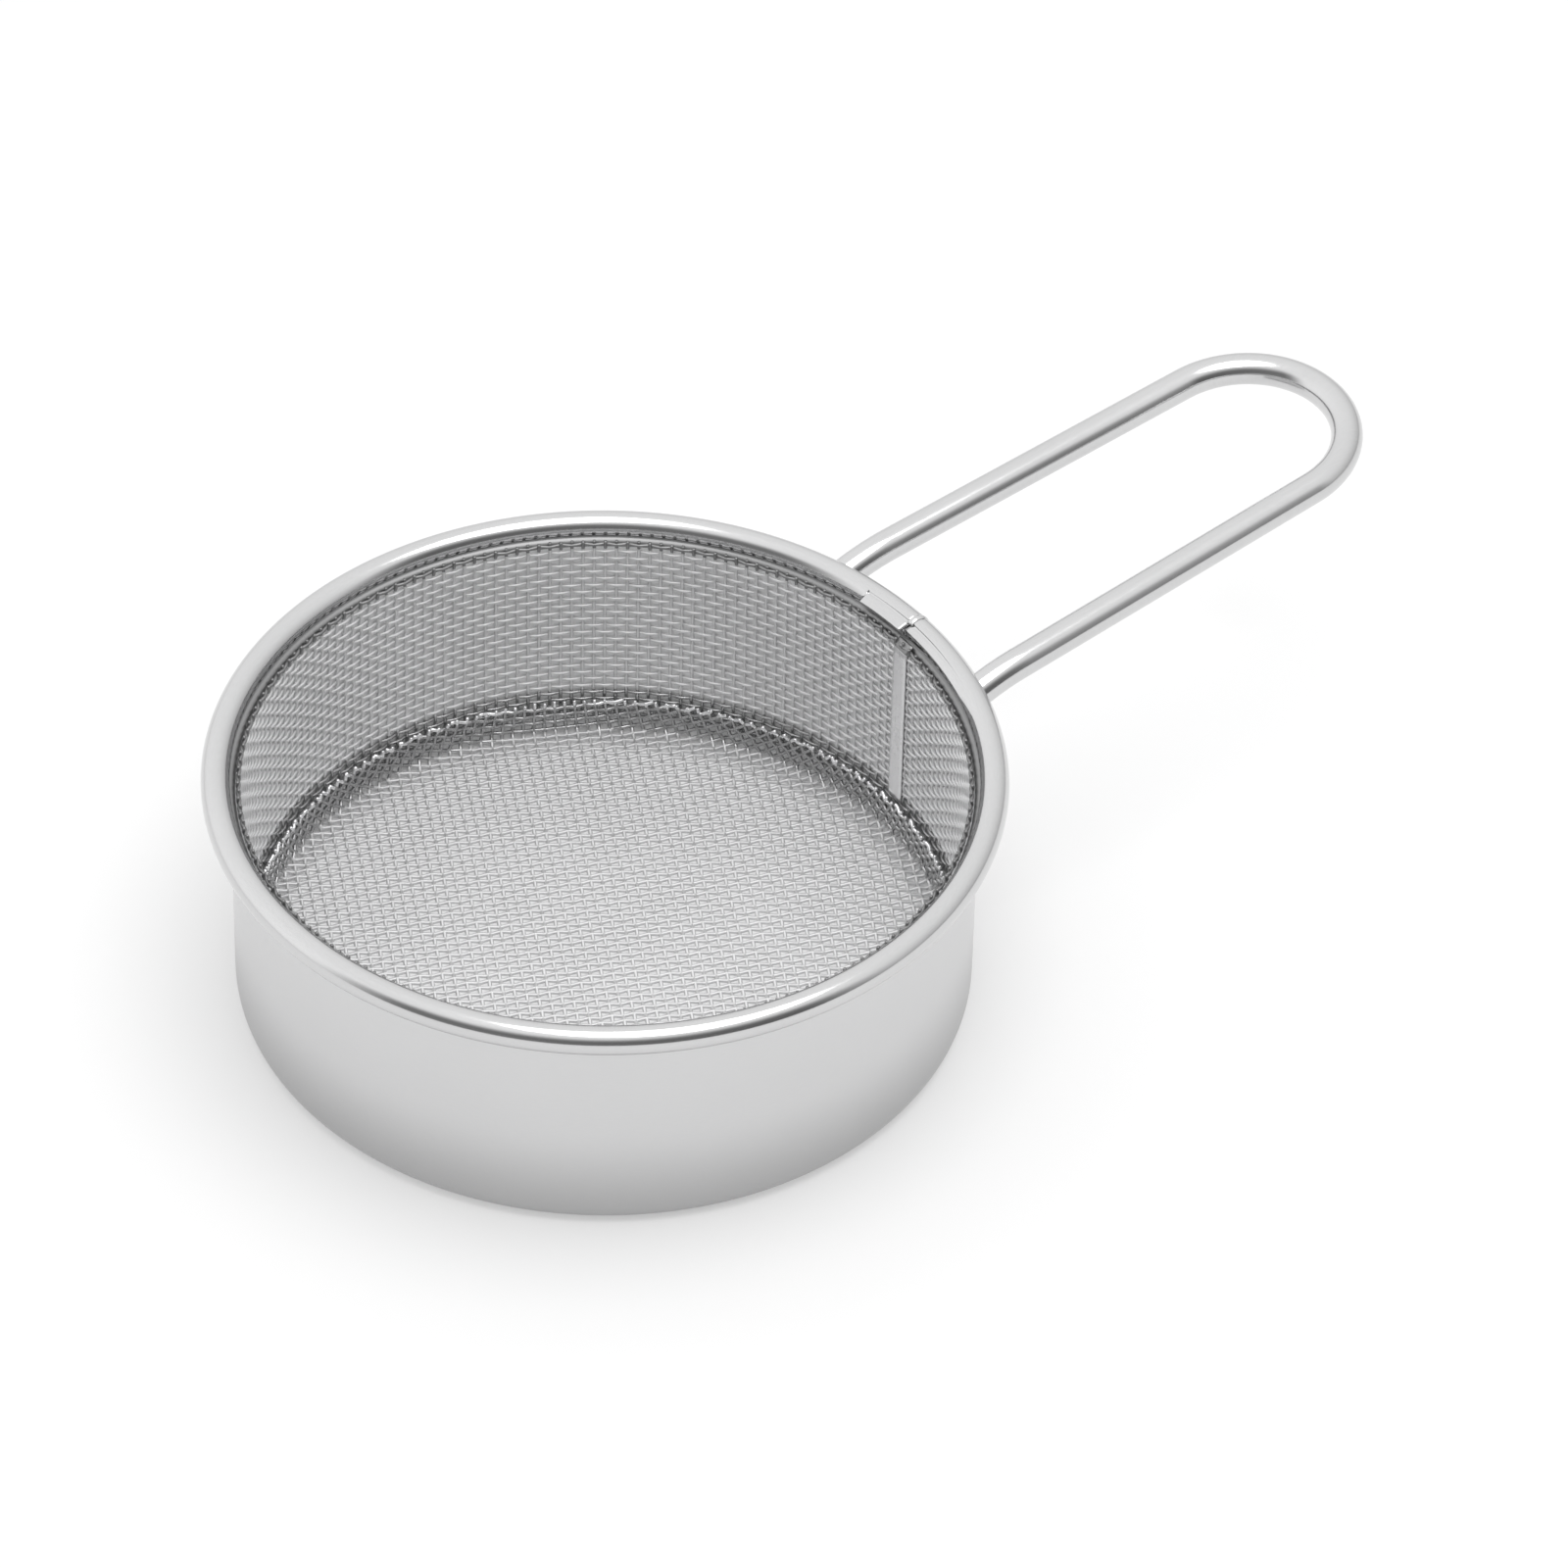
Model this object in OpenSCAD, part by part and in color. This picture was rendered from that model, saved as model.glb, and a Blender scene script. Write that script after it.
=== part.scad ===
// Tea strainer: a pressed steel ring lined with woven wire cloth, closed at the bottom by a
// pressed dish of the same cloth, with a rolled rim bead and a handle bent from one round wire.
// Origin: on the axis of the cup, in the plane that its foot rests on.
// +X points along the handle, +Z points up. Sizes are in millimetres.

/* [Cup] */
// Outside diameter across the rim bead
rim_od = 75; // [70:0.5:90]
// Diameter of the rolled rim bead
bead_d = 2.7; // [2.4:0.1:3.2]
// Height of the bead's centre above the foot
rim_z = 24.4; // [20:0.2:36]
// Thickness of the sheet steel of the ring
sheet_t = 0.5; // [0.4:0.05:0.6]
// Outer radius of the bend at the foot
foot_bend_r = 2; // [1.8:0.1:2.6]
// Width of the flat ring that the cup stands on
foot_flat_w = 1.6; // [1.2:0.1:3]

/* [Wire cloth] */
// Thickness of the woven cloth
cloth_t = 0.6; // [0.5:0.05:0.7]
// Height of the dish's turned-up edge above the foot
dish_h = 4.6; // [3.2:0.1:6]
// Width of the smooth strip that closes the wall cloth
seam_w = 1.85; // [1.2:0.05:3]
// Thickness of the smooth strip
seam_t = 0.15; // [0.1:0.05:0.25]

/* [Rim joint] */
// Gap between the two ends of the rim binding
rim_gap = 0.6; // [0.4:0.1:1]
// Wall thickness of the rolled binding strip
strip_t = 0.45; // [0.35:0.05:0.5]
// Angle covered by the wide ledge on one side of the gap
tab_deg = 9.5; // [6:0.5:14]
// Angle covered by the narrower ledge on the other side
lip_deg = 16; // [10:1:26]

/* [Handle] */
// Diameter of the handle wire
wire_d = 3.1; // [2.8:0.1:3.4]
// Distance from the cup's axis to the centre of the end bend
bend_x = 76.5; // [66:0.5:110]
// Radius of the end bend at the wire's centre
bend_r = 9.8; // [9:0.1:11]
// Distance between the legs' centres where they reach the rim
leg_gap = 20.9; // [20.4:0.1:23]
// Angle at which the handle rises away from the rim
rise_deg = 5.6; // [2:0.2:10]
// Distance from the cup's axis at which each leg starts to dip towards the rim
dip_x = 41; // [40:0.5:44]
// Radius of that long, slight bend
dip_r = 24; // [18:1:40]

/* [Hidden] */
$fn = 120;

// Cup
bead_r = bead_d / 2;
bead_c = rim_od / 2 - bead_r;          // radius of the bead's centre line
wall_or = bead_c - bead_r;             // outside of the ring's wall
wall_ir = wall_or - sheet_t;
foot_ir = wall_or - foot_bend_r - foot_flat_w;
flange_z = rim_z - 0.95;               // underside of the turned-out top edge
flange_or = bead_c + 0.5;
flange_bend_r = 0.25;

// Wire cloth
cloth_ir = wall_ir - cloth_t;
cloth_z = foot_bend_r;                 // lower edge of the wall cloth
cloth_top = rim_z - 0.3;               // its upper edge stands up inside the bead
dish_or = cloth_ir - 0.1;
dish_bend_r = 1.3;                     // outer radius of the dish's bend
seam_deg = seam_w / cloth_ir * 180 / PI;
seam_mid_deg = -1.9;                   // the strip lies a little to one side of the handle

// Rim joint
gap_mid_deg = -0.7;
gap_deg = rim_gap / bead_c * 180 / PI;
gap_end_deg = gap_mid_deg + gap_deg / 2;
lip_start_deg = gap_mid_deg - gap_deg / 2;

// Handle
wire_r = wire_d / 2;
rise_x = 35.6;                         // where the handle's plane crosses the bead's height
slope_len = (bend_x - rise_x) / cos(rise_deg);
leg_turn = asin((leg_gap / 2 - bend_r) / slope_len);  // the legs draw together by this much
leg_deg = asin(leg_gap / rim_od);        // direction of a leg's end, round from the handle
end_r = rim_od / 2 + 0.03;             // each end is cut square to leg_deg, just off the bead
end_x = (end_r - leg_gap / 2 * sin(leg_deg)) / cos(leg_deg) + 0.9;

// Height of the handle wire's centre at a distance x from the cup's axis
function handle_z(x) = rim_z + (x - rise_x) * tan(rise_deg);

// Centre of the bend that dips a leg, and the wire's angle from straight up where the bend stops
dip_c_x = dip_x + dip_r * sin(rise_deg);
dip_c_z = handle_z(dip_x) - dip_r * cos(rise_deg);
end_heading = acos((dip_c_x - end_x) / dip_r);
wire_sides = 20;                       // facets round the wire
dip_steps = 6;
bend_steps = 30;

// Welds under the handle's ends
weld_d = 1.6;
weld_len = 2.4;

// A quarter ring in the half plane: centre, outer and inner radius, and the quadrant it fills
module quarter_ring(centre, r_out, r_in, side_x, side_z) {
    translate(centre)
        intersection() {
            difference() {
                circle(r = r_out);
                circle(r = r_in);
            }
            translate([side_x > 0 ? 0 : -r_out, side_z > 0 ? 0 : -r_out])
                square(r_out);
        }
}

// A rectangle between two radii and two heights
module band(r_in, r_out, z_low, z_high) {
    translate([r_in, z_low])
        square([r_out - r_in, z_high - z_low]);
}

// Pressed ring: flat foot, upright wall, top edge turned out into the bead
module shell() {
    bend_x_out = wall_or + flange_bend_r;
    bend_z = flange_z - flange_bend_r;
    color("silver")
        rotate_extrude() {
            band(foot_ir, wall_or - foot_bend_r, 0, sheet_t);
            quarter_ring([wall_or - foot_bend_r, foot_bend_r], foot_bend_r,
                         foot_bend_r - sheet_t, 1, -1);
            band(wall_ir, wall_or, foot_bend_r, bend_z);
            quarter_ring([bend_x_out, bend_z], flange_bend_r + sheet_t, flange_bend_r, -1, 1);
            band(bend_x_out, flange_or, flange_z, flange_z + sheet_t);
        }
}

// Section of the rolled strip, about the bead's own centre, with the slot for the shell's edge
module bead_section() {
    difference() {
        circle(r = bead_r);
        circle(r = bead_r - strip_t);
        translate([-bead_r - 1, flange_z - rim_z])
            square([bead_r + 1 + flange_or - bead_c, sheet_t]);
    }
}

// Section of the crimped ledge beside the joint; it stands in over the cloth's edge by reach
module crimp_section(reach) {
    root = [-0.93, 0.95];
    tip = root - reach * [0.95, 0.31];
    polygon([[-0.5, bead_r - 0.2], root, tip, tip - [0, 0.4], [-1.15, 0.5], [-0.75, 0.75]]);
}

// Binding strip rolled round the shell's turned-out edge, with its two ends at the handle
module rim_binding() {
    color("gainsboro")
        translate([0, 0, rim_z])
            union() {
                rotate([0, 0, gap_end_deg])
                    rotate_extrude(angle = 360 - gap_deg)
                        translate([bead_c, 0])
                            bead_section();
                rotate([0, 0, gap_end_deg])
                    rotate_extrude(angle = tab_deg)
                        translate([bead_c, 0])
                            crimp_section(1.05);
                rotate([0, 0, lip_start_deg - lip_deg])
                    rotate_extrude(angle = lip_deg)
                        translate([bead_c, 0])
                            crimp_section(0.6);
            }
}

// Weld that closes the upper side of the rim's joint
module rim_weld() {
    color("whitesmoke")
        translate([0, 0, rim_z])
            rotate([0, 0, lip_start_deg])
                rotate_extrude(angle = gap_deg)
                    translate([bead_c, 0])
                        intersection() {
                            difference() {
                                circle(r = bead_r + 0.06);
                                circle(r = bead_r - strip_t);
                            }
                            translate([-bead_r * 0.5, 0.3])
                                square([bead_r * 1.6, bead_r * 2]);
                        }
}

// Band of woven cloth inside the ring, as the thin solid that it fills
module wall_mesh() {
    color("darkgray")
        rotate_extrude()
            band(cloth_ir, wall_ir, cloth_z, cloth_top);
}

// Smooth strip over the meeting ends of the wall cloth
module wall_seam() {
    color("lightgray")
        rotate([0, 0, seam_mid_deg - seam_deg / 2])
            rotate_extrude(angle = seam_deg)
                band(cloth_ir - seam_t, cloth_ir, dish_h + 0.2, cloth_top);
}

// Dish of woven cloth that lies on the foot's flat ring, with its edge turned up
module floor_mesh() {
    bend_c = dish_or - dish_bend_r;
    color("darkgray")
        rotate_extrude() {
            band(0, bend_c, sheet_t, sheet_t + cloth_t);
            quarter_ring([bend_c, sheet_t + dish_bend_r], dish_bend_r, dish_bend_r - cloth_t, 1, -1);
            band(dish_or - cloth_t, dish_or, sheet_t + dish_bend_r, dish_h);
        }
}

// A ring of the wire is [centre, sideways direction, upward direction].
// In a leg's dip the wire lies in a plane of constant y, and heading is its angle from straight up.
function dip_ring(side, heading) =
    [[dip_c_x - dip_r * cos(heading), side * leg_gap / 2, dip_c_z + dip_r * sin(heading)],
     [0, side, 0], [-cos(heading), 0, sin(heading)]];

// One leg, from the bead out on to the slope
function leg_rings(side) =
    [for (i = [0 : dip_steps])
        dip_ring(side, end_heading + (90 - rise_deg - end_heading) * i / dip_steps)];

// Point of the handle's own plane, a along its slope and b across it
function on_slope(a, b) = [rise_x + a * cos(rise_deg), b, rim_z + a * sin(rise_deg)];

// The end bend, from the left leg round to the right one
function bend_rings() =
    [for (i = [0 : bend_steps]) let (t = (90 - leg_turn) * (1 - 2 * i / bend_steps))
        [on_slope(slope_len + bend_r * cos(t), bend_r * sin(t)),
         [cos(t) * cos(rise_deg), sin(t), cos(t) * sin(rise_deg)],
         [-sin(rise_deg), 0, cos(rise_deg)]]];

function backwards(list) = [for (i = [len(list) - 1 : -1 : 0]) list[i]];

function handle_rings() = concat(leg_rings(1), bend_rings(), backwards(leg_rings(-1)));

// Points of a ring of the wire
function ring_points(ring) = [for (j = [0 : wire_sides - 1]) let (t = 360 * j / wire_sides)
    ring[0] + wire_r * (cos(t) * ring[1] + sin(t) * ring[2])];

// A leg's end: its last ring's points carried on along the wire to the plane of the cut
function end_points(side) =
    let (ahead = [-sin(end_heading), 0, -cos(end_heading)],
         out = [cos(leg_deg), side * sin(leg_deg), 0])
    [for (point = ring_points(dip_ring(side, end_heading)))
        point + ahead * (end_r - point * out) / (ahead * out)];

// Handle bent from one wire: end bend and two sloping legs that dip to meet the bead
module handle() {
    rings = handle_rings();
    points = concat(end_points(1), [for (ring = rings) each ring_points(ring)], end_points(-1));
    last = len(rings) + 1;
    start_cap = [[for (j = [0 : wire_sides - 1]) j]];
    end_cap = [[for (j = [wire_sides - 1 : -1 : 0]) last * wire_sides + j]];
    walls = [for (i = [0 : last - 1], j = [0 : wire_sides - 1])
        let (k = (j + 1) % wire_sides, low = i * wire_sides, high = low + wire_sides)
        [low + j, high + j, high + k, low + k]];
    color("lightgray")
        polyhedron(points = points, faces = concat(start_cap, walls, end_cap));
}

// Weld under a leg's end, in the hollow below the bead; side is 1 on the left, seen along the handle
module handle_weld(side) {
    color("gray")
        rotate([0, 0, side * leg_deg])
            translate([end_r - 0.1, 0, rim_z - bead_r])
                rotate([90, 0, 0])
                    cylinder(d = weld_d, h = weld_len, center = true, $fn = 40);
}

module handle_weld_left() {
    handle_weld(1);
}

module handle_weld_right() {
    handle_weld(-1);
}

shell();
rim_binding();
rim_weld();
wall_mesh();
wall_seam();
floor_mesh();
handle();
handle_weld_left();
handle_weld_right();
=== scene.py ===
"""Tea strainer: the looks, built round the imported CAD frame. Lengths are in metres."""

import math

import bpy
import numpy as np
from mathutils import Matrix, Vector


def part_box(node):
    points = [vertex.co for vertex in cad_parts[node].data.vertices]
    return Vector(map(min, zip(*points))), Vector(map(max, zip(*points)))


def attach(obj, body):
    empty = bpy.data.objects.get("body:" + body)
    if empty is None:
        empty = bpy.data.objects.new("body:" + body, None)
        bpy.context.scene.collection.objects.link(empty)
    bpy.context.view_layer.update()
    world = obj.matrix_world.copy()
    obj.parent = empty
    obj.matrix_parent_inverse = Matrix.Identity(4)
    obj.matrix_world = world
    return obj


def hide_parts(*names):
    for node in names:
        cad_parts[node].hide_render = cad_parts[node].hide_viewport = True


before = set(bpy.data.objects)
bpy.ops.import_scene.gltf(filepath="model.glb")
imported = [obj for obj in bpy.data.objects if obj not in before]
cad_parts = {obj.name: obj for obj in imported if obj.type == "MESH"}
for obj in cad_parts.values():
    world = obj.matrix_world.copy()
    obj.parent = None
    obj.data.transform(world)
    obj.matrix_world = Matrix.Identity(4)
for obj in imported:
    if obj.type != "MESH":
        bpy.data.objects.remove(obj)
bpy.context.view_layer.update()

MM = 0.001
BODY = "root"

# ---------------------------------------------------------------- sizes, from the frame

rim_low, rim_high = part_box("rim_binding")
BEAD_R = (rim_high.z - rim_low.z) / 2
RIM_Z = (rim_high.z + rim_low.z) / 2
BEAD_C = -rim_low.x - BEAD_R                  # radius of the bead's centre line

SHEET_T = 0.5 * MM
WALL_OR = BEAD_C - BEAD_R                     # outside of the sheet steel ring
FOOT_BEND_R = 2.0 * MM
FOOT_FLAT_W = 1.6 * MM
FOOT_EDGE_R = 0.15 * MM                       # rounding of the foot's inner edge
FLANGE_Z = RIM_Z - 0.95 * MM
FLANGE_BEND_R = 0.25 * MM
FLANGE_OR = BEAD_C + 0.3 * MM                 # the ring's turned-out edge ends inside the bead
SHELL_TURNS = 288                             # steps round the ring

cloth_low, cloth_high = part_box("wall_mesh")
CLOTH_T = 0.6 * MM
CLOTH_R = cloth_high.x - 0.27 * MM            # middle of the wall cloth
WALL_WIRE_R = 0.17 * MM
FLOOR_WIRE_R = 0.20 * MM
WEAVE = 0.09 * MM                             # how far a wire weaves to each side
WIRE_SIDES = 6
WIRE_SHORT = 0.12                             # millimetres by which a floor wire may end short

dish_low, dish_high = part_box("floor_mesh")
DISH_BEND_R = 1.3 * MM - CLOTH_T / 2          # middle of the cloth in the dish's bend
DISH_R = dish_high.x - CLOTH_T / 2
DISH_BEND_C = DISH_R - DISH_BEND_R
DISH_Z = dish_low.z + CLOTH_T / 2
FLOOR_LEVELS = [DISH_Z + 0.4 * MM, dish_high.z - 0.5 * MM]   # painted shade on the dish's side between these, and a painted highlight on its edge above

PITCH_WARP = 1.064 * MM                       # spacing of the cloth's wider-set wires
PITCH_WEFT = 0.823 * MM
PITCH_HOOP = 0.86 * MM
WALL_LEVELS = [dish_high.z + 0.9 * MM, RIM_Z - 1.1 * MM]   # painted shade on the wall cloth below these, by the dish, and above them, under the bead
FLOOR_TURN = math.radians(-26.9)              # how the floor cloth lies, from the handle's axis

SEAM_DEG = -1.9                               # middle of the wall's seam, round from the handle
SEAM_W = 2.05 * MM
SEAM_T = 0.15 * MM
SEAM_TOP_SHADE = 0.8 * MM                      # height of the strip's top, which has painted shade under the bead
SEAM_SINK = 0.75 * MM                         # how far its top millimetre sinks back into the cloth

GAP_DEG = -0.7                                # middle of the rim's joint
GAP_W = 0.5 * MM
TAB_DEG = 9.5                                 # angles covered by the tab and the lip
LIP_DEG = 23.0
TAB_REACH = 1.05 * MM
LIP_REACH = 0.6 * MM
LEDGE_T = 0.3 * MM                            # thickness of the tab and the lip at their edge
LEDGE_WAY = np.array([-0.951, -0.31])         # direction in which they leave the bead, outward and up
LEDGE_ROOT = math.radians(134)                # where they leave it, round its section from outward
LEDGE_BACK = math.radians(160)                # where their underside comes back to it
LEDGE_END = math.radians(224)                 # where the section is round again
CREASE = 0.87                                 # share of the bead's radius left in the crease

HANDLE_R = 1.55 * MM
HANDLE_BEND_X = 76.5 * MM
HANDLE_BEND_R = 9.8 * MM
WELD_SIZE = (1.7 * MM, 3.0 * MM, 1.6 * MM)    # outward, along the rim and up
JOINT_WELD_ARC = (-10, 132)                   # degrees round the bead's section from outward
JOINT_WELD_T = 0.4 * MM                       # how far it fills the joint
LEG_GAP = 20.9 * MM                           # between the legs' centres at the rim
RISE = math.radians(5.6)
RISE_X = 35.6 * MM                            # where the rising line meets the level of the bead's centre
DIP_X = 41 * MM                               # where each leg starts to dip towards the bead
DIP_R = 24 * MM


# ---------------------------------------------------------------- materials

def node(tree, kind, **inputs):
    """A shader node, with its inputs by name set to a value or linked from a socket."""
    made = tree.nodes.new(kind)
    for name, value in inputs.items():
        socket = made.inputs[name.replace("_", " ")]
        if isinstance(value, bpy.types.NodeSocket):
            tree.links.new(value, socket)
        else:
            socket.default_value = value
    return made


def maths(tree, operation, *values):
    """The result of a shader sum of numbers and sockets."""
    made = tree.nodes.new("ShaderNodeMath")
    made.operation = operation
    for socket, value in zip(made.inputs, values):
        if isinstance(value, bpy.types.NodeSocket):
            tree.links.new(value, socket)
        else:
            socket.default_value = value
    return made.outputs[0]


def ramp(tree, factor, stops):
    """Grey levels along a factor: stops are (place, level)."""
    curve = tree.nodes.new("ShaderNodeFloatCurve")
    tree.links.new(factor, curve.inputs["Value"])
    line = curve.mapping.curves[0]
    top = max(level for _, level in stops)
    while len(line.points) < len(stops):
        line.points.new(0.5, 0.5)
    for point, (place, level) in zip(line.points, stops):
        point.location = (place, level / top)
        point.handle_type = "VECTOR"
    curve.mapping.update()
    return maths(tree, "MULTIPLY", curve.outputs[0], top)


def steel(name, grey, roughness, spread, grain, bump, speck=0.0, metal=1.0, foot=1.0, glow=0.0):
    """Stainless steel. grain is (round, up, across) noise frequencies in a cylinder about the cup's
    axis, in cycles per radian and per metre. spread and speck are how far the roughness and the
    brightness vary with it. foot is the share of the brightness left at the level of the foot, as painted
    shade, and glow is a painted glow that stands in for the light that goes back and forth behind the cloth."""
    material = bpy.data.materials.new(name)
    material.use_nodes = True
    tree = material.node_tree
    shader = tree.nodes["Principled BSDF"]
    shader.inputs["Metallic"].default_value = metal
    shader.inputs["Emission Color"].default_value = (1, 1, 1, 1)
    shader.inputs["Emission Strength"].default_value = glow
    coords = tree.nodes.new("ShaderNodeTexCoord")
    split = node(tree, "ShaderNodeSeparateXYZ", Vector=coords.outputs["Object"])
    x, y, z = split.outputs
    around = maths(tree, "ARCTAN2", y, x)
    radius = maths(tree, "SQRT", maths(tree, "ADD", maths(tree, "MULTIPLY", x, x),
                                       maths(tree, "MULTIPLY", y, y)))
    place = node(tree, "ShaderNodeCombineXYZ",
                 X=maths(tree, "MULTIPLY", around, grain[0]),
                 Y=maths(tree, "MULTIPLY", z, grain[1]),
                 Z=maths(tree, "MULTIPLY", radius, grain[2]))
    lines = node(tree, "ShaderNodeTexNoise", Vector=place.outputs[0], Scale=1.0, Detail=4.0, Roughness=0.6)
    cloud = node(tree, "ShaderNodeTexNoise", Vector=coords.outputs["Object"], Scale=90.0, Detail=2.0)
    mixed = maths(tree, "ADD", maths(tree, "MULTIPLY", lines.outputs["Fac"], 0.7),
                  maths(tree, "MULTIPLY", cloud.outputs["Fac"], 0.3))
    rough = node(tree, "ShaderNodeMapRange", Value=mixed, From_Min=0.3, From_Max=0.7,
                 To_Min=max(0.02, roughness - spread), To_Max=roughness + spread)
    tree.links.new(rough.outputs[0], shader.inputs["Roughness"])
    tone = node(tree, "ShaderNodeMapRange", Value=mixed, From_Min=0.3, From_Max=0.7,
                To_Min=grey - 0.02 - speck, To_Max=grey + 0.02 + speck)
    # painted shade: the brightness falls towards the foot, down to foot's share
    painted_foot_shade = node(tree, "ShaderNodeMapRange", Value=z, From_Min=0.0, From_Max=12 * MM,
                To_Min=foot, To_Max=1.0)
    painted_foot_shade.interpolation_type = "SMOOTHSTEP"
    level = maths(tree, "MULTIPLY", tone.outputs[0], painted_foot_shade.outputs[0])
    colour = node(tree, "ShaderNodeCombineColor", Red=level, Green=level,
                  Blue=maths(tree, "MULTIPLY", level, 1.005))
    tree.links.new(colour.outputs[0], shader.inputs["Base Color"])
    bumped = node(tree, "ShaderNodeBump", Height=lines.outputs["Fac"], Strength=bump, Distance=0.02 * MM)
    tree.links.new(bumped.outputs[0], shader.inputs["Normal"])
    return material


# the satin outside has painted shade, darker towards the foot
SATIN_WITH_FOOT_SHADE = steel("satin_steel", 0.66, 0.33, 0.05, (40, 26000, 26000), 0.25, foot=0.7)
# the rolled inside carries a painted glow, standing in for the light that goes back and forth behind the
# cloth
ROLLED_WITH_GLOW = steel("rolled_steel", 0.93, 0.45, 0.05, (30, 9000, 9000), 0.05, metal=0.3, glow=0.06)
POLISHED = steel("polished_steel", 0.62, 0.13, 0.025, (60, 8000, 8000), 0.03)
HANDLE = steel("handle_wire", 0.62, 0.13, 0.03, (900, 900, 900), 0.03)
CLOTH = steel("wire_cloth", 0.80, 0.60, 0.06, (900, 2500, 2500), 0.05, 0.03)
FLOOR_CLOTH = steel("wire_cloth_floor", 0.72, 0.60, 0.06, (900, 2500, 2500), 0.05, 0.03)
# painted shade for the cloth in the corner: the dish's turned-up side and the wall's bottom
CORNER_SHADE = steel("wire_cloth_painted_corner_shade", 0.45, 0.28, 0.06, (900, 2500, 2500), 0.05, 0.03)
# painted shade under the bead: on the wall cloth's top, the seam's top and the ring's turned-out edge
BEAD_SHADE = steel("painted_bead_shade", 0.30, 0.45, 0.06, (900, 2500, 2500), 0.05, 0.03)
# the seam strip's own finish, and also a painted highlight on the floor cloth's top edge
SEAM_AND_HIGHLIGHT = steel("seam_strip", 0.93, 0.30, 0.06, (300, 1500, 3000), 0.3, 0.02)
WELD = steel("weld_metal", 0.55, 0.38, 0.10, (200, 4000, 4000), 0.4, 0.06)


# ---------------------------------------------------------------- camera, floor and light

CAMERA_AZIMUTH = math.radians(-126.38)        # where the camera stands, round from the handle
CAMERA_ELEVATION = math.radians(41.42)
CAMERA_DISTANCE = 780.9 * MM
CAMERA_PAN = math.radians(1.216)
CAMERA_TILT = math.radians(-0.063)
CAMERA_ROLL = math.radians(0.437)
CAMERA_LENS = 193.2                           # millimetres, on a 36 mm square frame

# Brightness of the studio against the sine of the elevation, on the camera's side and behind
FRONT_LIGHT = ((0.0, 0.32), (0.12, 0.20), (0.42, 0.20), (0.57, 0.35), (0.70, 0.75), (0.80, 1.05), (1.0, 1.30))
BACK_LIGHT = ((0.0, 0.80), (0.20, 0.95), (0.50, 1.05), (0.70, 1.10), (0.85, 1.10), (1.0, 1.20))
SIDE_TILT = 0.35                              # how much brighter the left is than the middle
SOFTBOX_HIGH = 400 * MM
SOFTBOX_SIZE = (290 * MM, 325 * MM)           # across and along the camera's direction
SOFTBOX_SHIFT = (60 * MM, 52 * MM)            # to the camera's right, and towards it
SOFTBOX_LEVEL = 2.6
FLOOR_RADIUS = 6.0
FLOOR_GREY = 0.54
FLOOR_GLOW = 0.38                             # softens the shadow


def add_camera():
    """A long lens a little to the right of the cup, so that the handle fits in the frame."""
    out = Vector((math.cos(CAMERA_ELEVATION) * math.cos(CAMERA_AZIMUTH),
                  math.cos(CAMERA_ELEVATION) * math.sin(CAMERA_AZIMUTH),
                  math.sin(CAMERA_ELEVATION)))
    place = Vector((0, 0, RIM_Z)) + out * CAMERA_DISTANCE
    ahead = -out
    right = ahead.cross(Vector((0, 0, 1))).normalized()
    up = right.cross(ahead)
    right, ahead = (right * math.cos(CAMERA_PAN) - ahead * math.sin(CAMERA_PAN),
                    right * math.sin(CAMERA_PAN) + ahead * math.cos(CAMERA_PAN))
    up, ahead = (up * math.cos(CAMERA_TILT) - ahead * math.sin(CAMERA_TILT),
                 up * math.sin(CAMERA_TILT) + ahead * math.cos(CAMERA_TILT))
    right, up = (right * math.cos(CAMERA_ROLL) + up * math.sin(CAMERA_ROLL),
                 up * math.cos(CAMERA_ROLL) - right * math.sin(CAMERA_ROLL))
    data = bpy.data.cameras.new("camera")
    data.lens = CAMERA_LENS
    data.sensor_width = 36
    data.clip_start = 0.01
    data.clip_end = 20
    camera = bpy.data.objects.new("camera", data)
    turn = Matrix((right, up, -ahead)).transposed().to_4x4()
    camera.matrix_world = Matrix.Translation(place) @ turn
    bpy.context.collection.objects.link(camera)
    bpy.context.scene.camera = camera


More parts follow.
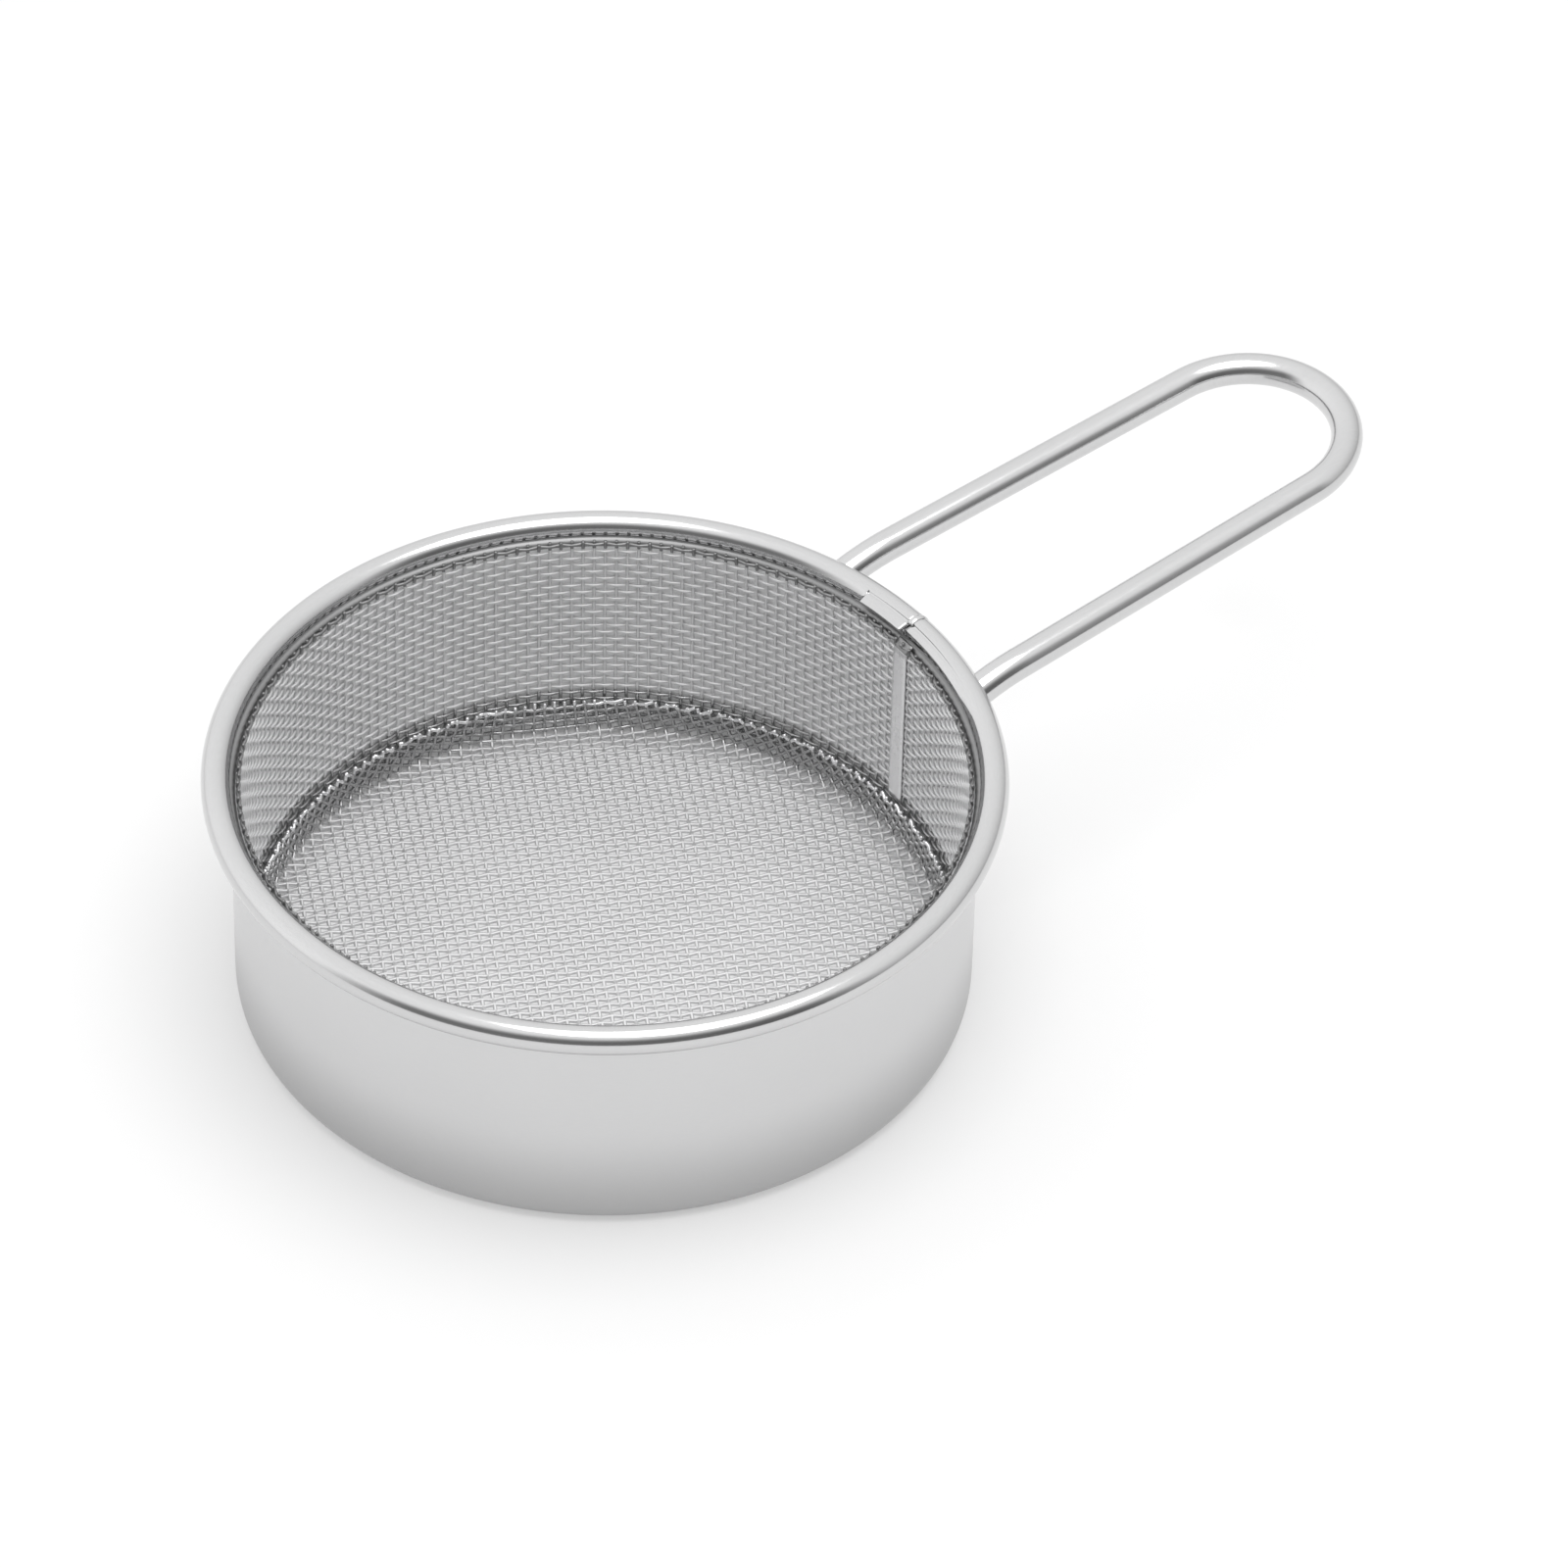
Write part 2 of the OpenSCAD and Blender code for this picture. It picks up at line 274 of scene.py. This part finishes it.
def add_world():
    """A bright studio: white overhead and behind the strainer, darker on the camera's side."""
    world = bpy.data.worlds.new("studio")
    bpy.context.scene.world = world
    world.use_nodes = True
    tree = world.node_tree
    tree.nodes.clear()
    coords = tree.nodes.new("ShaderNodeTexCoord")
    split = node(tree, "ShaderNodeSeparateXYZ", Vector=coords.outputs["Generated"])
    x, y, z = split.outputs
    flat = maths(tree, "SQRT", maths(tree, "SUBTRACT", 1.0001, maths(tree, "MULTIPLY", z, z)))
    along = maths(tree, "ADD", maths(tree, "MULTIPLY", x, math.cos(CAMERA_AZIMUTH)),
                  maths(tree, "MULTIPLY", y, math.sin(CAMERA_AZIMUTH)))
    facing = maths(tree, "DIVIDE", along, flat)
    right = CAMERA_AZIMUTH + math.pi / 2
    sideways = maths(tree, "ADD", maths(tree, "MULTIPLY", x, math.cos(right)),
                     maths(tree, "MULTIPLY", y, math.sin(right)))
    tilt = maths(tree, "SUBTRACT", 1.0, maths(tree, "MULTIPLY", maths(tree, "MULTIPLY", sideways, SIDE_TILT),
                                              maths(tree, "SUBTRACT", 1.0, z)))
    front = node(tree, "ShaderNodeMapRange", Value=facing, From_Min=0.15, From_Max=0.65)
    front.interpolation_type = "SMOOTHSTEP"
    dark_side = ramp(tree, z, FRONT_LIGHT)
    bright_side = ramp(tree, z, BACK_LIGHT)
    level = maths(tree, "ADD", bright_side, maths(tree, "MULTIPLY", front.outputs[0],
                                                  maths(tree, "SUBTRACT", dark_side, bright_side)))
    level = maths(tree, "MULTIPLY", level, tilt)
    colour = node(tree, "ShaderNodeCombineColor", Red=level, Green=level, Blue=level)
    background = node(tree, "ShaderNodeBackground", Color=colour.outputs[0])
    out = tree.nodes.new("ShaderNodeOutputWorld")
    tree.links.new(background.outputs[0], out.inputs["Surface"])


def add_softbox():
    """The soft light overhead, a little to the camera's right of the cup."""
    data = bpy.data.lights.new("softbox", "AREA")
    data.shape = "ELLIPSE"
    data.size, data.size_y = SOFTBOX_SIZE
    data.energy = SOFTBOX_LEVEL * math.pi * (math.pi / 4 * data.size * data.size_y)
    softbox = bpy.data.objects.new("softbox", data)
    turn = CAMERA_AZIMUTH + math.pi / 2
    across, along = SOFTBOX_SHIFT
    softbox.location = (across * math.cos(turn) + along * math.cos(CAMERA_AZIMUTH),
                        across * math.sin(turn) + along * math.sin(CAMERA_AZIMUTH), SOFTBOX_HIGH)
    softbox.rotation_euler = (0, 0, turn)
    softbox.visible_camera = False
    bpy.context.collection.objects.link(softbox)


def add_floor():
    """A plain pale floor that the strainer stands on."""
    bpy.ops.mesh.primitive_circle_add(vertices=96, radius=FLOOR_RADIUS, fill_type="NGON",
                                      location=(0, 0, -0.02 * MM))
    floor = bpy.context.object
    floor.name = "floor"
    material = bpy.data.materials.new("floor")
    material.use_nodes = True
    shader = material.node_tree.nodes["Principled BSDF"]
    shader.inputs["Base Color"].default_value = (FLOOR_GREY, FLOOR_GREY, FLOOR_GREY, 1)
    shader.inputs["Emission Color"].default_value = (1, 1, 1, 1)
    shader.inputs["Emission Strength"].default_value = FLOOR_GLOW
    shader.inputs["Roughness"].default_value = 0.9
    shader.inputs["Specular IOR Level"].default_value = 0.1
    floor.data.materials.append(material)


# ---------------------------------------------------------------- mesh tools

def add_mesh(name, points, faces, materials):
    mesh = bpy.data.meshes.new(name)
    mesh.from_pydata([tuple(p) for p in points], [], [tuple(f) for f in faces])
    mesh.update()
    piece = bpy.data.objects.new(name, mesh)
    bpy.context.collection.objects.link(piece)
    for material in materials:
        mesh.materials.append(material)
    mesh.polygons.foreach_set("use_smooth", [True] * len(mesh.polygons))
    return piece


def settle(piece, slot, *nodes):
    """The piece rides on the body and stands for the nodes. The slot is not used."""
    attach(piece, BODY)
    if nodes:
        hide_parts(*nodes)


def shade(piece, levels):
    """Give each face its material by its height: levels are the heights between the materials."""
    centres = np.empty(len(piece.data.polygons) * 3)
    piece.data.polygons.foreach_get("center", centres)
    piece.data.polygons.foreach_set("material_index", np.searchsorted(levels, centres[2::3]))


def skin(rings, flipped=False):
    """Points and faces of a solid through closed rings of points, with flat ends."""
    count, sides = rings.shape[:2]
    first = np.arange(count - 1)[:, None] * sides
    here = np.arange(sides)[None]
    after = (here + 1) % sides
    walls = np.stack([first + here, first + after, first + sides + after, first + sides + here], -1)
    last = (count - 1) * sides
    faces = walls.reshape(-1, 4).tolist() + [list(range(sides - 1, -1, -1)), list(range(last, last + sides))]
    if flipped:
        faces = [face[::-1] for face in faces]
    return rings.reshape(-1, 3), faces


def unit(v):
    return v / np.linalg.norm(v, axis=-1, keepdims=True)


def tube(path, upward, radius, sides):
    """A round tube along a path. upward is a direction per point, off the path's own."""
    along = unit(np.gradient(path, axis=0))
    across = unit(np.cross(upward, along))
    outward = np.cross(along, across)
    turn = np.arange(sides) * 2 * math.pi / sides
    rings = (path[:, None] + radius * (np.cos(turn)[None, :, None] * across[:, None]
                                       + np.sin(turn)[None, :, None] * outward[:, None]))
    return skin(rings)


def join_tubes(tubes):
    """The points and faces of many tubes as one mesh."""
    points, faces, start = [], [], 0
    for some_points, some_faces in tubes:
        points.append(some_points)
        faces.extend([[i + start for i in face] for face in some_faces])
        start += len(some_points)
    return np.concatenate(points), faces


def arc(centre, radius, from_deg, to_deg, steps):
    """Points of an arc in the half plane of radius and height."""
    turn = np.radians(np.linspace(from_deg, to_deg, steps + 1))
    return np.stack([centre[0] + radius * np.cos(turn), centre[1] + radius * np.sin(turn)], -1)


def lathe(outline, turns):
    """A closed outline in the half plane, turned all the way round the cup's axis."""
    count = len(outline)
    angle = np.arange(turns) * 2 * math.pi / turns
    points = np.stack([outline[None, :, 0] * np.cos(angle)[:, None],
                       outline[None, :, 0] * np.sin(angle)[:, None],
                       np.broadcast_to(outline[None, :, 1], (turns, count))], -1).reshape(-1, 3)
    i = np.arange(turns)[:, None]
    j = np.arange(count)[None]
    near, far = i * count, (i + 1) % turns * count
    after = (j + 1) % count
    faces = np.stack([near + j, far + j, far + after, near + after], -1).reshape(-1, 4)
    return points, faces.tolist()


# ---------------------------------------------------------------- the cup's steel

def add_shell():
    """The ring: foot, upright wall and turned-out edge. It has a satin outside with painted shade towards
    the foot, and a rolled inside with a painted glow; on top of the edge it has painted shade, under the
    bead."""
    foot_c = (WALL_OR - FOOT_BEND_R, FOOT_BEND_R)
    top_c = (WALL_OR + FLANGE_BEND_R, FLANGE_Z - FLANGE_BEND_R)
    foot_ir = foot_c[0] - FOOT_FLAT_W
    outside = np.concatenate([
        arc((foot_ir + FOOT_EDGE_R, FOOT_EDGE_R), FOOT_EDGE_R, 180, 270, 3),
        arc(foot_c, FOOT_BEND_R, 270, 360, 14),
        arc(top_c, FLANGE_BEND_R, 180, 90, 5),
        [(FLANGE_OR, FLANGE_Z)]])
    inside = np.concatenate([
        [(FLANGE_OR, FLANGE_Z + SHEET_T)],
        arc(top_c, FLANGE_BEND_R + SHEET_T, 90, 180, 6),
        arc(foot_c, FOOT_BEND_R - SHEET_T, 360, 270, 12),
        arc((foot_ir + FOOT_EDGE_R, SHEET_T - FOOT_EDGE_R), FOOT_EDGE_R, 90, 180, 3)])
    outline = np.concatenate([outside, inside])
    points, faces = lathe(outline, SHELL_TURNS)
    shell = add_mesh("shell_steel", points, faces, [SATIN_WITH_FOOT_SHADE, ROLLED_WITH_GLOW, BEAD_SHADE])
    count = len(outline)
    part = np.where(np.arange(count) < len(outside), 0, 1)
    # painted shade on top of the turned-out edge, under the bead
    part[len(outside):][inside[:, 1] > top_c[1] + 0.01 * MM] = 2
    shell.data.polygons.foreach_set("material_index", np.tile(part, SHELL_TURNS))
    settle(shell, "satin_steel", "shell")


def crimp(degrees):
    """How the bead is pressed at an angle round from the handle: how fully its ledge is made, and how
    far that reaches in. A wide tab is on one side of the joint, and a lip fades out on the other."""
    gap_half = math.degrees(GAP_W / BEAD_C) / 2
    offset = degrees - GAP_DEG
    if offset >= 0:
        return float(np.clip((gap_half + TAB_DEG - offset) / 0.25, 0, 1)), TAB_REACH
    return float(np.clip(1 - (-offset - gap_half) / LIP_DEG, 0, 1)) ** 0.7, LIP_REACH


def bead_section(share, reach):
    """Outline of the bead about its own centre. Where it is pressed, a ledge leaves the bead at its
    root and stands in over the cloth's edge, with a shallow crease along the root."""
    turn = np.radians(np.arange(0, 360, 4))
    outline = BEAD_R * np.stack([np.cos(turn), np.sin(turn)], -1)
    root = BEAD_R * np.array([math.cos(LEDGE_ROOT), math.sin(LEDGE_ROOT)])
    tip = root + reach * LEDGE_WAY
    under = tip - np.array([0, LEDGE_T])
    back = BEAD_R * np.array([math.cos(LEDGE_BACK), math.sin(LEDGE_BACK)])
    pressed = outline.copy()
    for i, t in enumerate(turn):
        along = (t - LEDGE_ROOT) / (LEDGE_END - LEDGE_ROOT)
        if -0.13 < along < 0:
            pressed[i] = outline[i] * CREASE
        elif 0 <= along < 0.4:
            pressed[i] = root + (tip - root) * along / 0.36
        elif 0.4 <= along < 0.65:
            pressed[i] = under + (back - under) * (along - 0.4) / 0.25
        elif 0.65 <= along < 1:
            swing = LEDGE_BACK + (LEDGE_END - LEDGE_BACK) * (along - 0.65) / 0.35
            pressed[i] = BEAD_R * np.array([math.cos(swing), math.sin(swing)])
    return outline + share * (pressed - outline)


def add_rim():
    """The rolled binding, with its tab and its lip on the two sides of the joint by the handle."""
    half = math.degrees(GAP_W / BEAD_C) / 2
    start, end = GAP_DEG + half, GAP_DEG + 360 - half
    tab_end = start + TAB_DEG
    lip_start = end - LIP_DEG
    angles = np.concatenate([
        np.linspace(start, tab_end - 0.3, 22),
        np.linspace(tab_end - 0.25, tab_end + 0.05, 5),
        np.linspace(tab_end + 0.5, lip_start, 300),
        np.linspace(lip_start + 0.6, end, 38)])
    rings = []
    for degrees in angles:
        section = bead_section(*crimp(degrees if degrees < 180 else degrees - 360))
        reach = BEAD_C + section[:, 0]
        turn = math.radians(degrees)
        rings.append(np.stack([reach * math.cos(turn), reach * math.sin(turn), RIM_Z + section[:, 1]], -1))
    points, faces = skin(np.array(rings), flipped=True)
    rim = add_mesh("rim_bead", points, faces, [POLISHED])
    settle(rim, "polished_steel", "rim_binding")


# ---------------------------------------------------------------- woven cloth

def dish_place(x, y, lift):
    """Where a point of the flat floor cloth comes to lie once its edge is pressed up into a dish."""
    flat_r = np.maximum(np.hypot(x, y), 1e-9)
    past = flat_r - DISH_BEND_C
    bend = np.clip(past / DISH_BEND_R, 0, math.pi / 2)
    climb = np.maximum(past - DISH_BEND_R * math.pi / 2, 0)
    reach = np.minimum(flat_r, DISH_BEND_C) + DISH_BEND_R * np.sin(bend)
    height = DISH_Z + DISH_BEND_R * (1 - np.cos(bend)) + climb
    inward = -np.sin(bend)
    outward = np.stack([x / flat_r, y / flat_r], -1)
    normal = np.concatenate([outward * inward[:, None], np.cos(bend)[:, None]], -1)
    place = np.concatenate([outward * reach[:, None], height[:, None]], -1)
    return place + normal * lift[:, None], normal


def floor_wires(own_pitch, other_pitch, turn, sign):
    """One family of the floor cloth's wires: straight in the flat cloth, and weaving over and under
    the other family, whose spacing is other_pitch."""
    climb = dish_high.z - DISH_Z - DISH_BEND_R
    flat_radius = DISH_BEND_C + DISH_BEND_R * math.pi / 2 + climb
    draw = np.random.default_rng(5 if sign > 0 else 6)
    along = np.array([math.cos(turn), math.sin(turn)])
    aside = np.array([-math.sin(turn), math.cos(turn)])
    wires = []
    count = int(flat_radius / own_pitch)
    for i in range(-count, count + 1):
        offset = (i + 0.5) * own_pitch
        if abs(offset) > flat_radius - own_pitch * 0.4:
            continue
        half = math.sqrt(flat_radius ** 2 - offset ** 2)
        steps = np.arange(math.ceil(-half / other_pitch * 3), math.floor(half / other_pitch * 3) + 1)
        run = np.concatenate([[-half + draw.uniform(0, WIRE_SHORT) * MM],
                              steps * other_pitch / 3 + other_pitch / 2,
                              [half - draw.uniform(0, WIRE_SHORT) * MM]])
        run = run[np.abs(run) <= half]
        run = run[np.concatenate([[True], np.diff(run) > 0.03 * MM])]
        lift = sign * WEAVE * (-1) ** i * np.sin(math.pi * run / other_pitch)
        flat = along[None] * run[:, None] + aside[None] * offset
        path, normal = dish_place(flat[:, 0], flat[:, 1], lift)
        wires.append(tube(path, normal, FLOOR_WIRE_R, WIRE_SIDES))
    return join_tubes(wires)


def add_floor_cloth():
    """The dish of woven cloth. Its turned-up side has painted shade, and its edge a painted highlight."""
    for name, own, other, turn, sign, nodes in (
            ("floor_cloth_warp", PITCH_WARP, PITCH_WEFT, FLOOR_TURN + math.pi / 2, 1, ["floor_mesh"]),
            ("floor_cloth_weft", PITCH_WEFT, PITCH_WARP, FLOOR_TURN, -1, [])):
        points, faces = floor_wires(own, other, turn, sign)
        cloth = add_mesh(name, points, faces, [FLOOR_CLOTH, CORNER_SHADE, SEAM_AND_HIGHLIGHT])
        # painted shade on the dish's turned-up side, and a painted highlight on its edge
        shade(cloth, FLOOR_LEVELS)
        settle(cloth, "wire_cloth", *nodes)


def add_wall_cloth():
    """The band in the ring: upright wires and hoops, woven over and under each other."""
    uprights = 2 * round(math.pi * CLOTH_R / PITCH_WARP)
    low, high = cloth_low.z + 0.1 * MM, cloth_high.z
    hoops = round((high - low) / PITCH_HOOP)
    hoop_pitch = (high - low) / hoops
    step = 2 * math.pi / uprights
    first = math.radians(SEAM_DEG)
    wires = []
    run = np.arange(3 * hoops + 1) / 3
    for i in range(uprights):
        angle = first + i * step
        reach = CLOTH_R - WEAVE * (-1) ** i * np.cos(math.pi * (run - 0.5))
        path = np.stack([reach * math.cos(angle), reach * math.sin(angle), low + run * hoop_pitch], -1)
        inward = np.broadcast_to([-math.cos(angle), -math.sin(angle), 0.0], path.shape)
        wires.append(tube(path, inward, WALL_WIRE_R, WIRE_SIDES))
    points, faces = join_tubes(wires)
    cloth = add_mesh("wall_cloth_uprights", points, faces, [CORNER_SHADE, CLOTH, BEAD_SHADE])
    # painted shade: low on the cloth by the dish, and high under the bead
    shade(cloth, WALL_LEVELS)
    settle(cloth, "wire_cloth", "wall_mesh")
    wires = []
    run = np.arange(3 * uprights + 1) / 3
    angle = first + run * step
    inward = np.stack([-np.cos(angle), -np.sin(angle), np.zeros(len(run))], -1)
    for j in range(hoops):
        reach = CLOTH_R + WEAVE * (-1) ** j * np.cos(math.pi * run)
        height = np.full(len(run), low + (j + 0.5) * hoop_pitch)
        path = np.stack([reach * np.cos(angle), reach * np.sin(angle), height], -1)
        wires.append(tube(path, inward, WALL_WIRE_R, WIRE_SIDES))
    points, faces = join_tubes(wires)
    cloth = add_mesh("wall_cloth_hoops", points, faces, [CORNER_SHADE, CLOTH, BEAD_SHADE])
    # painted shade: low on the cloth by the dish, and high under the bead
    shade(cloth, WALL_LEVELS)
    settle(cloth, "wire_cloth")


def add_seam():
    """The smooth strip over the wall cloth's meeting ends, with softly rounded edges. Its top sinks
    back into the cloth."""
    seam_low, seam_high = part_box("wall_seam")
    middle = math.radians(SEAM_DEG)
    face = cloth_high.x - CLOTH_T
    half = SEAM_W / face / 2
    across = np.linspace(-1, 1, 13)
    depth = SEAM_T * np.sqrt(np.clip(1 - np.abs(across) ** 6, 0.02, 1))
    front = np.stack([face - depth, middle + across * half], -1)
    back = np.stack([np.full(len(across), face + 0.05 * MM), middle + across * half], -1)[::-1]
    section = np.concatenate([front, back])
    rings = []
    for z in np.linspace(seam_low.z, seam_high.z, 30):
        sunk = SEAM_SINK * np.clip((z - seam_high.z) / MM + 1, 0, 1) ** 2
        reach = section[:, 0] + sunk
        rings.append(np.stack([reach * np.cos(section[:, 1]), reach * np.sin(section[:, 1]),
                               np.full(len(section), z)], -1))
    points, faces = skin(np.array(rings), flipped=True)
    strip = add_mesh("seam_strip", points, faces, [SEAM_AND_HIGHLIGHT, BEAD_SHADE])
    # painted shade on the strip's top, under the bead
    shade(strip, [seam_high.z - SEAM_TOP_SHADE])
    settle(strip, "seam_strip", "wall_seam")


# ---------------------------------------------------------------- handle

def handle_path():
    """Points along the wire's middle and a direction square to it, from one leg's end to the other's."""
    slope_len = (HANDLE_BEND_X - RISE_X) / math.cos(RISE)
    leg_turn = math.asin((LEG_GAP / 2 - HANDLE_BEND_R) / slope_len)
    side = LEG_GAP / 2
    centre_x = DIP_X + DIP_R * math.sin(RISE)
    centre_z = RIM_Z + (DIP_X - RISE_X) * math.tan(RISE) - DIP_R * math.cos(RISE)
    end_x = math.sqrt((BEAD_C + 0.6 * BEAD_R) ** 2 - side ** 2)
    heading = math.acos((centre_x - end_x) / DIP_R)   # from straight up
    points, upward = [], []
    for t in np.linspace(heading, math.pi / 2 - RISE, 16):
        points.append((centre_x - DIP_R * math.cos(t), side, centre_z + DIP_R * math.sin(t)))
        upward.append((-math.cos(t), 0, math.sin(t)))
    start = Vector(points[-1])
    bend = []
    for t in np.linspace(math.pi / 2 - leg_turn, leg_turn - math.pi / 2, 61):
        a, b = slope_len + HANDLE_BEND_R * math.cos(t), HANDLE_BEND_R * math.sin(t)
        bend.append((RISE_X + a * math.cos(RISE), b, RIM_Z + a * math.sin(RISE)))
    for share in np.linspace(0, 1, 16)[1:-1]:
        points.append(tuple(start.lerp(Vector(bend[0]), share)))
    normal = (-math.sin(RISE), 0, math.cos(RISE))
    upward += [normal] * (len(points) - len(upward))
    path = points + bend + [(x, -y, z) for x, y, z in reversed(points)]
    directions = upward + [normal] * len(bend) + list(reversed(upward))
    return np.array(path), np.array(directions, float)


def add_handle():
    """The long loop, bent from one round wire."""
    path, upward = handle_path()
    points, faces = tube(path, upward, HANDLE_R, 32)
    settle(add_mesh("handle_loop", points, faces, [HANDLE]), "handle_wire", "handle")


def add_weld(name, centre, turn, replaced):
    """A weld bead: a lump with a slightly uneven surface."""
    along, across = np.meshgrid(np.radians(np.arange(0, 360, 15)), np.radians(np.arange(-75, 90, 15)),
                                indexing="ij")
    uneven = 1 + 0.05 * np.sin(3 * along + 1) * np.cos(2 * across) + 0.03 * np.cos(5 * along)
    x = WELD_SIZE[0] / 2 * uneven * np.cos(along) * np.cos(across)
    y = WELD_SIZE[1] / 2 * uneven * np.sin(across)
    z = WELD_SIZE[2] / 2 * uneven * np.sin(along) * np.cos(across)
    points = np.stack([centre[0] + x * math.cos(turn) - y * math.sin(turn),
                       centre[1] + x * math.sin(turn) + y * math.cos(turn), centre[2] + z], -1)
    around, rows = x.shape
    faces = [[i * rows + j + 1, (i + 1) % around * rows + j + 1, (i + 1) % around * rows + j, i * rows + j]
             for i in range(around) for j in range(rows - 1)]
    faces.append([i * rows for i in range(around)])
    faces.append([i * rows + rows - 1 for i in reversed(range(around))])
    settle(add_mesh(name, points.reshape(-1, 3), faces, [WELD]), "weld_metal", replaced)


def add_rim_weld():
    """The weld that fills the joint over the top of the bead, and stands a little proud of it."""
    half = GAP_W / BEAD_C / 2
    rings = []
    for angle in np.linspace(-1.5, 1.5, 13):
        proud = 0.09 * MM * math.cos(angle / 1.5 * math.pi / 2) ** 2 - 0.01 * MM
        outer = arc((BEAD_C, RIM_Z), BEAD_R + proud, *JOINT_WELD_ARC, 24)
        inner = arc((BEAD_C, RIM_Z), BEAD_R - JOINT_WELD_T, *reversed(JOINT_WELD_ARC), 24)
        section = np.concatenate([outer, inner])
        turn = math.radians(GAP_DEG) + angle * half
        rings.append(np.stack([section[:, 0] * math.cos(turn), section[:, 0] * math.sin(turn),
                               section[:, 1]], -1))
    points, faces = skin(np.array(rings), flipped=True)
    settle(add_mesh("joint_weld", points, faces, [POLISHED]), "weld_metal", "rim_weld")


def add_handle_welds():
    """The welds that hold the handle's ends to the outside of the bead."""
    turn = math.asin(LEG_GAP / 2 / (BEAD_C + BEAD_R))
    reach = BEAD_C + BEAD_R - 0.05 * MM
    for side, replaced in ((1, "handle_weld_left"), (-1, "handle_weld_right")):
        centre = (reach * math.cos(turn), side * reach * math.sin(turn), RIM_Z - BEAD_R)
        add_weld(replaced + "_bead", centre, side * turn, replaced)


# ---------------------------------------------------------------- build

add_camera()
add_world()
add_softbox()
add_floor()
add_shell()
add_rim()
add_floor_cloth()
add_wall_cloth()
add_seam()
add_handle()
add_rim_weld()
add_handle_welds()

scene = bpy.context.scene
scene.view_settings.view_transform = "Standard"
